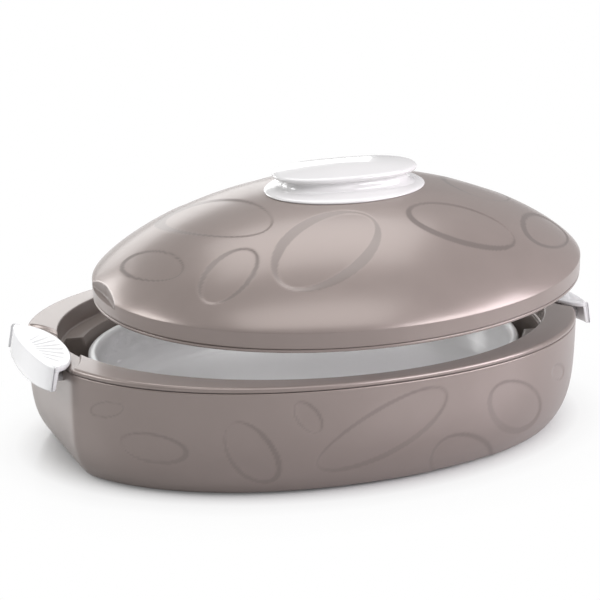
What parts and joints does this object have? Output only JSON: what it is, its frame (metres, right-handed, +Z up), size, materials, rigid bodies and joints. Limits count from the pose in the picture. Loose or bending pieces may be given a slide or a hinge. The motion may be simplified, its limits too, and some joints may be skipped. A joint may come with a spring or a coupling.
{
  "type": "insulated casserole",
  "caption": "Oval insulated casserole for flat breads: foam-filled body and domed lift-off lid, inner serving dish, sliding side latches and a top handle.",
  "frame": {"origin": "middle of the underside, on the table", "axes": "+X runs to the right latch, +Y to the back, +Z up"},
  "size_m": [0.3724, 0.2807, 0.1747],
  "materials": {
    "body_plastic": "satin",
    "liner_plastic": "satin",
    "white_plastic": "gloss",
    "foam": "matte",
    "screw_steel": "satin",
    "feet_rubber": "matte"
  },
  "bodies": {
    "base": {"base_outer_shell": "body_plastic", "base_inner_liner": "liner_plastic", "base_foam": "foam", "base_bottom_cover": "liner_plastic", "base_cover_screws": "screw_steel", "rubber_feet": "feet_rubber", "base_foam_plug": "liner_plastic"},
    "dish": {"serving_dish": "white_plastic"},
    "lid": {"lid_outer_shell": "body_plastic", "lid_inner_liner": "liner_plastic", "lid_foam": "foam", "lid_foam_plug": "liner_plastic", "handle_plate": "white_plastic", "handle_grip": "white_plastic", "handle_screws": "screw_steel", "handle_washers": "screw_steel", "handle_screw_caps": "liner_plastic"},
    "latch_l": {"latch_left": "white_plastic", "latch_washers_left": "screw_steel", "latch_screws_left": "screw_steel"},
    "latch_r": {"latch_right": "white_plastic", "latch_washers_right": "screw_steel", "latch_screws_right": "screw_steel"}
  },
  "joints": [
    {"name": "dish_lift", "type": "slide", "parent": "base", "child": "dish", "axis": [0, 0, 1], "range_m": [0, 0.08]},
    {"name": "lid_lift", "type": "slide", "parent": "dish", "child": "lid", "axis": [0, 0, 1], "range_m": [-0.016, 0.12]},
    {"name": "latch_left_slide", "type": "slide", "parent": "base", "child": "latch_l", "axis": [1, 0, 0], "range_m": [0, 0.005]},
    {"name": "latch_right_slide", "type": "slide", "parent": "base", "child": "latch_r", "axis": [-1, 0, 0], "range_m": [0, 0.005]}
  ]
}
